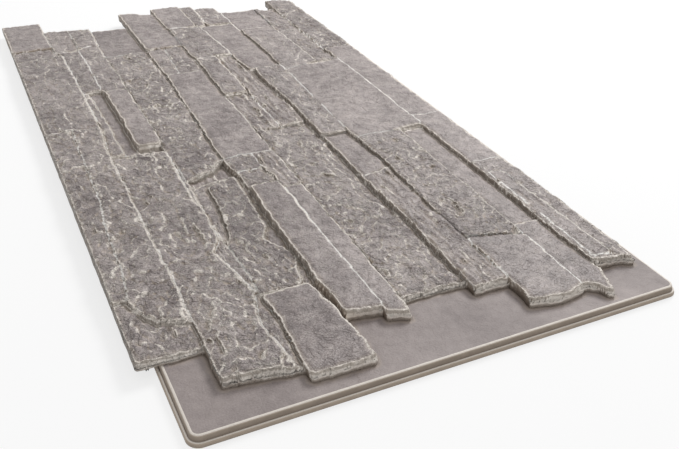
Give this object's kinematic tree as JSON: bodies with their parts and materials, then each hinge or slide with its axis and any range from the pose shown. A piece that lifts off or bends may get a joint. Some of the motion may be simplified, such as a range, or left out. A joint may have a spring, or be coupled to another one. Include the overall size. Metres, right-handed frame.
{
  "type": "faux stone wall panel",
  "caption": "Thin moulded wall panel with stacked slate strips in relief, a stepped lap flange on two sides and jagged interlocking ends.",
  "frame": {"origin": "centre of the footprint, on the flat back plane", "axes": "+Y along the strips, from the flanged near end to the overhanging far end; +X across the strips, towards the flanged side; +Z out of the wall"},
  "size_m": [0.6, 1.182, 0.0265],
  "materials": {
    "stone_panel": "painted rigid foam, matt stone grey with pale worn edges and brown joints"
  },
  "bodies": {
    "root": {"stone_panel": "stone_panel"}
  },
  "joints": []
}
